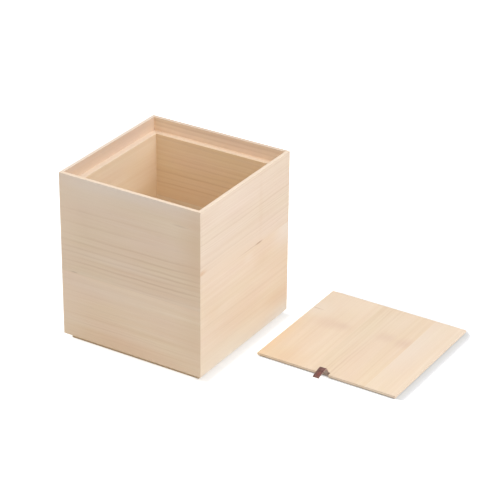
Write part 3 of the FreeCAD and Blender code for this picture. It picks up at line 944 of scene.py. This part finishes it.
@dataclass
class LeatherStrap:
    """The pull strap: glued in the lid's housing, up through the notch, folded over and down.

    Its free end leans a little to the left, because it was glued by hand. Sizes are in millimetres.
    """

    width: float = 13.0
    thickness: float = 2.0
    edge_round: float = 0.45
    round_points: int = 4
    section_cuts: int = 3
    step: float = 0.6
    crown: float = 0.25
    unevenness: float = 0.16
    uneven_size: float = 6.0
    seed: int = 4
    side_share: float = 0.33
    crisp_angle: float = 50.0
    tail_height: float = 1.2
    tail_end: float = 33.0
    runs: tuple[Run, ...] = (
        Run(25.0, 0.0),
        Run(3.14, -90.0),
        Run(13.3, 34.0),
        Run(4.6, 3.0),
        Run(4.6, 66.0),
        Run(24.2, 8.0),
    )
    lean: float = 1.2
    upright_from: float = 28.0
    flex_half: float = 3.0

    def sizes(self) -> dict[str, float]:
        """Gives the sweep's named sizes, in metres."""
        names = ("Width", "Thickness", "Edge round", "Step", "Crown", "Unevenness")
        return {name: getattr(self, name.lower().replace(" ", "_")) * MM for name in names}

    def centreline(self) -> list[Vector]:
        """Follows the strap's middle from its glued end to its tip.

        Returns:
            Points from the middle of the lid's front edge, on the floor, in millimetres.
        """
        spot = Vector((0.0, self.tail_end, self.tail_height))
        points = [spot.copy()]
        heading, along = math.pi, 0.0
        free = sum(run.length for run in self.runs) - self.upright_from
        for run in self.runs:
            steps = max(1, round(run.length / self.step))
            half_turn = math.radians(run.turn) / steps / 2
            for _ in range(steps):
                heading += half_turn
                spot += Vector((0.0, math.cos(heading), math.sin(heading))) * run.length / steps
                heading += half_turn
                along += run.length / steps
                spot.x = -self.lean * max(0.0, along - self.upright_from) / free
                points.append(spot.copy())
        return points

    def section(self, tree: Tree, entry: Outputs) -> tuple[Socket, Socket]:
        """Draws the strap's section, a rounded rectangle that is slightly crowned.

        Args:
            tree: the sweep's tree.
            entry: the tree's inputs.

        Returns:
            The section, and the place on it that each of its points keeps through the sweep.
        """
        sides = {"Width": entry["Width"], "Height": entry["Thickness"]}
        flat = add(tree, "GeometryNodeCurvePrimitiveQuadrilateral", {}, sides)
        corners = {"Curve": flat, "Count": self.round_points, "Radius": entry["Edge round"]}
        eased = add(tree, "GeometryNodeFilletCurve", {"mode": "POLY"}, corners)
        fine = add(tree, "GeometryNodeSubdivideCurve", {}, {"Curve": eased, "Cuts": self.section_cuts})
        spot = add(tree, "GeometryNodeInputPosition", {}, {})
        keep = tree.nodes.new("GeometryNodeCaptureAttribute")
        keep.capture_items.new("VECTOR", "Spot")
        tree.links.new(fine, keep.inputs[0])
        tree.links.new(spot, keep.inputs[1])
        across = add(tree, "ShaderNodeSeparateXYZ", {}, {0: spot}, "X")
        share = add(tree, MATH, {"operation": "DIVIDE"}, {0: across, 1: entry["Width"]})
        squared = add(tree, MATH, TIMES, {0: share, 1: share})
        sunk = add(tree, MATH, TIMES, {0: squared, 1: entry["Crown"]})
        offset = add(tree, "ShaderNodeCombineXYZ", {}, {"Y": sunk})
        crowned = add(tree, "GeometryNodeSetPosition", {}, {"Geometry": keep.outputs[0], "Offset": offset})
        return crowned, keep.outputs[1]

    def sweep_tree(self) -> Tree:
        """Makes the tree that sweeps the section along the strap's line.

        Returns:
            A geometry tree with named inputs for the strap's sizes and seed.
        """
        tree = bpy.data.node_groups.new("strap_sweep", "GeometryNodeTree")
        face = tree.interface
        face.new_socket("Line", in_out="INPUT", socket_type="NodeSocketGeometry")
        for name in self.sizes():
            face.new_socket(name, in_out="INPUT", socket_type="NodeSocketFloat")
        face.new_socket("Seed", in_out="INPUT", socket_type="NodeSocketInt")
        face.new_socket("Strap", in_out="OUTPUT", socket_type="NodeSocketGeometry")
        entry = tree.nodes.new("NodeGroupInput").outputs
        leave = tree.nodes.new("NodeGroupOutput").inputs

        curve = add(tree, "GeometryNodeMeshToCurve", {}, {0: entry["Line"]})
        steps = {"Curve": curve, "Length": entry["Step"]}
        even = add(tree, "GeometryNodeResampleCurve", {"mode": "LENGTH"}, steps)
        keep = tree.nodes.new("GeometryNodeCaptureAttribute")
        keep.capture_items.new("FLOAT", "Length")
        tree.links.new(even, keep.inputs[0])
        tree.links.new(add(tree, "GeometryNodeSplineParameter", {}, {}, "Length"), keep.inputs[1])
        section, spot = self.section(tree, entry)
        sweep = {"Curve": keep.outputs[0], "Profile Curve": section, "Fill Caps": True}
        swept = add(tree, "GeometryNodeCurveToMesh", {}, sweep)
        seeded = add(tree, "ShaderNodeCombineXYZ", {}, {"Z": entry["Seed"]})
        bare = add(tree, "GeometryNodeInputPosition", {}, {})
        scaled = {0: bare, 1: (1 / (self.uneven_size * MM),) * 3, 2: seeded}
        where = add(tree, VECTORS, TIMES_PLUS, scaled)
        wave = add(tree, "ShaderNodeTexNoise", {}, {"Vector": where, "Scale": 1.0, "Detail": 1.0}, "Color")
        centred = add(tree, VECTORS, {"operation": "SUBTRACT"}, {0: wave, 1: (0.5, 0.5, 0.5)})
        push = add(tree, VECTORS, {"operation": "SCALE"}, {0: centred, "Scale": entry["Unevenness"]})
        uneven = add(tree, "GeometryNodeSetPosition", {}, {"Geometry": swept, "Offset": push})

        kept = add(tree, "ShaderNodeSeparateXYZ", {}, {0: spot}).node.outputs
        layout = add(tree, "ShaderNodeCombineXYZ", {}, {"X": kept["X"], "Y": keep.outputs[1]})
        in_mm = add(tree, VECTORS, {"operation": "SCALE"}, {0: layout, "Scale": 1 / MM})
        corners = {"data_type": "FLOAT2", "domain": "CORNER"}
        stored = {"Geometry": uneven, "Name": STRAP_MAP, "Value": in_mm}
        mapped = add(tree, "GeometryNodeStoreNamedAttribute", corners, stored)
        whole = add(tree, "GeometryNodeRealizeInstances", {}, {0: mapped})
        raw = {"Geometry": whole, "Material": CUT_EDGE.material()}
        strap = add(tree, "GeometryNodeSetMaterial", {}, raw)
        limit = self.thickness * MM * self.side_share
        for side, beyond, level in ((FLESH_SIDE, "GREATER_THAN", limit), (GRAIN_SIDE, "LESS_THAN", -limit)):
            chosen = add(tree, MATH, {"operation": beyond}, {0: kept["Y"], 1: level})
            finish = {"Geometry": strap, "Selection": chosen, "Material": side.material()}
            strap = add(tree, "GeometryNodeSetMaterial", {}, finish)
        tree.links.new(strap, leave[0])
        return tree

    def build(self) -> bpy.types.Object:
        """Sweeps the strap, bakes it to a plain mesh and sets where it bends.

        Returns:
            The finished strap.
        """
        low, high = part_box("pull_tab")
        origin = Vector(((low.x + high.x) / 2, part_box("lid_middle")[0].y, 0.0))
        line = bpy.data.meshes.new("strap_line")
        points = [origin + point * MM for point in self.centreline()]
        line.from_pydata(points, [(place, place + 1) for place in range(len(points) - 1)], [])
        draft = placed("strap_draft", line)
        sweep = draft.modifiers.new("sweep", "NODES")
        sweep.node_group = self.sweep_tree()
        wanted = {**self.sizes(), "Seed": self.seed}
        for socket in sweep.node_group.interface.items_tree:
            if socket.name in wanted:
                sweep[socket.identifier] = wanted[socket.name]
        graph = bpy.context.evaluated_depsgraph_get()
        mesh = bpy.data.meshes.new_from_object(draft.evaluated_get(graph), depsgraph=graph)
        bpy.data.objects.remove(draft)
        mesh.shade_smooth()
        mesh.set_sharp_from_angle(angle=math.radians(self.crisp_angle))
        strap = placed("leather_strap", mesh)
        self.hang(strap)
        return strap

    def hang(self, strap: bpy.types.Object) -> None:
        """Hides the model's strap pieces and bakes the strap's placement into its mesh.

        Args:
            strap: the finished mesh.
        """
        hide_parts("pull_tab_tail", "pull_tab")
        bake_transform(strap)
        log.info("strap of %d faces", len(strap.data.polygons))


@dataclass(frozen=True)
class ShadedFloor:
    """A rectangle of the floor that keeps a shade, with soft edges, in metres."""

    centre: tuple[float, float]
    half: tuple[float, float]
    soft: float
    level: float

    def share(self, tree: Tree, axes: Sequence[Socket]) -> Any:
        """Works out how much of the shade shows.

        Args:
            tree: the floor's tree.
            axes: the place's X and Y.

        Returns:
            The share of shade.
        """
        level: Any = self.level
        for axis, middle, half in zip(axes, self.centre, self.half):
            off = add(tree, MATH, {"operation": "SUBTRACT"}, {0: axis, 1: middle})
            away = add(tree, MATH, {"operation": "ABSOLUTE"}, {0: off})
            reach = {"Value": away, "From Min": half + self.soft, "From Max": half}
            inside = add(tree, RANGE, {}, reach)
            level = add(tree, MATH, TIMES, {0: inside, 1: level})
        return level


@dataclass
class PaperFloor:
    """A sheet of matt white paper, which scatters light evenly and looks white to the camera.

    Only the shade that the box and the lid keep beside them shows on it.
    """

    half: float = 6.0
    colour: str = "#F2F2F2"
    lift: float = 0.74
    shade_reach: float = 0.052
    shade_side: tuple[float, float, float] = (-0.97, -0.2, 0.14)
    shade_samples: int = 16
    shade_steps: tuple[tuple[float, str], ...] = (
        (0.002, "#FFFFFF"),
        (0.01, "#D6D6D7"),
        (0.05, "#CACACB"),
        (0.14, "#B9B9BA"),
        (0.3, "#BBBBBA"),
    )
    shaded: tuple[ShadedFloor, ...] = (
        ShadedFloor((0.147, 0.006), (0.009, 0.144), 0.012, 0.72),
        ShadedFloor((0.36, 0.147), (0.17, 0.153), 0.008, 1.0),
    )

    def material(self) -> bpy.types.Material:
        """Builds the paper's material.

        Returns:
            The finished material.
        """
        made = bpy.data.materials.new("matt_paper")
        tree = cleared(made)
        ray = add(tree, "ShaderNodeLightPath", {}, {}, "Is Camera Ray")
        reach = {"Distance": self.shade_reach, "Normal": Vector(self.shade_side).normalized()}
        open_share = add(tree, "ShaderNodeAmbientOcclusion", {"samples": self.shade_samples}, reach, "AO")
        hidden = add(tree, MATH, {"operation": "SUBTRACT"}, {0: 1.0, 1: open_share})
        shades = add(tree, "ShaderNodeValToRGB", {}, {"Fac": hidden})
        ramp = shades.node.color_ramp
        ramp.elements.remove(ramp.elements[1])
        ramp.elements[0].color = WHITE
        for level, shade in self.shade_steps:
            ramp.elements.new(level).color = linear(shade)
        place = add(tree, "ShaderNodeTexCoord", {}, {}, "Object")
        axes = add(tree, "ShaderNodeSeparateXYZ", {}, {0: place}).node.outputs[:2]
        seen: Any = 0.0
        for part in self.shaded:
            seen = add(tree, MATH, {"operation": "MAXIMUM"}, {0: part.share(tree, axes), 1: seen})
        seen = add(tree, MATH, TIMES, {0: seen, 1: ray})
        tint = add(tree, "ShaderNodeMix", COLOURS, {0: seen, 6: WHITE, 7: shades}, 2)
        tinted = {0: 1.0, 6: tint, 7: linear(self.colour)}
        sheet = add(tree, "ShaderNodeMix", {"data_type": "RGBA", "blend_type": "MULTIPLY"}, tinted, 2)
        paper = add(tree, "ShaderNodeBsdfDiffuse", {}, {"Color": sheet})
        lift = add(tree, MATH, TIMES, {0: ray, 1: self.lift})
        glow = add(tree, "ShaderNodeEmission", {}, {"Color": tint, "Strength": lift})
        both = add(tree, "ShaderNodeAddShader", {}, {0: paper, 1: glow})
        add(tree, "ShaderNodeOutputMaterial", {}, {"Surface": both})
        return made

    def build(self) -> None:
        """Lays the floor."""
        mesh = bpy.data.meshes.new("studio_floor")
        half = self.half
        corners = [(-half, -half, 0), (half, -half, 0), (half, half, 0), (-half, half, 0)]
        mesh.from_pydata(corners, [], [(0, 1, 2, 3)])
        mesh.materials.append(self.material())
        placed("studio_floor", mesh)


@dataclass(frozen=True)
class Softbox:
    """A large soft lamp that points at the object, with its angles in degrees and sizes in metres.

    The azimuth goes round from the front towards the right. The level is the brightness of white
    paper that faces the lamp, where 1 is white.
    """

    name: str
    azimuth: float
    elevation: float
    level: float
    distance: float = 3.0
    size: float = 2.6
    aim: tuple[float, float, float] = (0.15, 0.05, 0.1)

    def build(self) -> None:
        """Hangs the lamp."""
        lamp = bpy.data.lights.new(self.name, "AREA")
        lamp.shape = "DISK"
        lamp.size = self.size
        lamp.energy = self.level * math.pi**2 * self.distance**2
        piece = placed(self.name, lamp)
        turn, lift = math.radians(self.azimuth), math.radians(self.elevation)
        away = Vector((math.sin(turn) * math.cos(lift), -math.cos(turn) * math.cos(lift), math.sin(lift)))
        piece.location = Vector(self.aim) + away * self.distance
        piece.rotation_euler = away.to_track_quat("Z", "Y").to_euler()
        piece.visible_camera = False


@dataclass
class Studio:
    """Plain pale floor, white surroundings and large soft lamps."""

    world_level: float = 0.273
    lamps: tuple[Softbox, ...] = (
        Softbox("right_lamp", 90.0, 45.0, 0.547),
        Softbox("front_right_lamp", 45.0, 55.0, 0.185),
        Softbox("front_left_lamp", -60.0, 40.0, 0.195),
        Softbox("left_lamp", -90.0, 70.0, 0.177),
    )

    def world(self) -> None:
        """Lights the scene evenly from all round, and shows white behind it and in reflections."""
        made = bpy.data.worlds.new("studio_world")
        tree = cleared(made)
        paths = add(tree, "ShaderNodeLightPath", {}, {}).node.outputs
        rays = {0: paths["Is Camera Ray"], 1: paths["Is Glossy Ray"]}
        seen = add(tree, MATH, {"operation": "MAXIMUM"}, rays)
        level = add(tree, RANGE, {}, {"Value": seen, "To Min": self.world_level, "To Max": 1.0})
        glow = add(tree, "ShaderNodeBackground", {}, {"Color": WHITE, "Strength": level})
        add(tree, "ShaderNodeOutputWorld", {}, {"Surface": glow})
        bpy.context.scene.world = made

    def build(self) -> None:
        """Sets up the floor, the surroundings and the lamps."""
        PaperFloor().build()
        self.world()
        for lamp in self.lamps:
            lamp.build()
        bpy.context.scene.view_settings.view_transform = "Standard"
        log.info("studio with %d lamps", len(self.lamps))


@dataclass
class PhotoCamera:
    """The camera, set where the photograph was taken from: metres, degrees, and millimetres of lens."""

    place: tuple[float, float, float] = (1.88577, -2.82960, 1.93133)
    azimuth: float = 31.4012
    elevation: float = 27.5024
    roll: float = 0.6479
    lens: float = 150.423
    sensor: float = 36.0
    sees_to: float = 50.0

    def build(self) -> None:
        """Makes the scene's camera."""
        data = bpy.data.cameras.new("photo_camera")
        data.lens = self.lens
        data.sensor_width = self.sensor
        data.clip_end = self.sees_to
        camera = placed("photo_camera", data)
        turn = Matrix.Rotation(math.radians(self.azimuth), 4, "Z")
        tilt = Matrix.Rotation(math.radians(90.0 - self.elevation), 4, "X")
        lean = Matrix.Rotation(math.radians(self.roll), 4, "Z")
        camera.matrix_world = Matrix.Translation(self.place) @ turn @ tilt @ lean
        bpy.context.scene.camera = camera


def main() -> None:
    """Builds the scene in order."""
    logging.basicConfig(level=logging.INFO, format="%(name)s: %(message)s")
    for part in (PhotoCamera(), Studio()):
        part.build()
    for boards in (OuterShell(), Lining(), Floor(), Lid()):
        boards.dress()
    LeatherStrap().build()


if __name__ == "__main__":
    main()
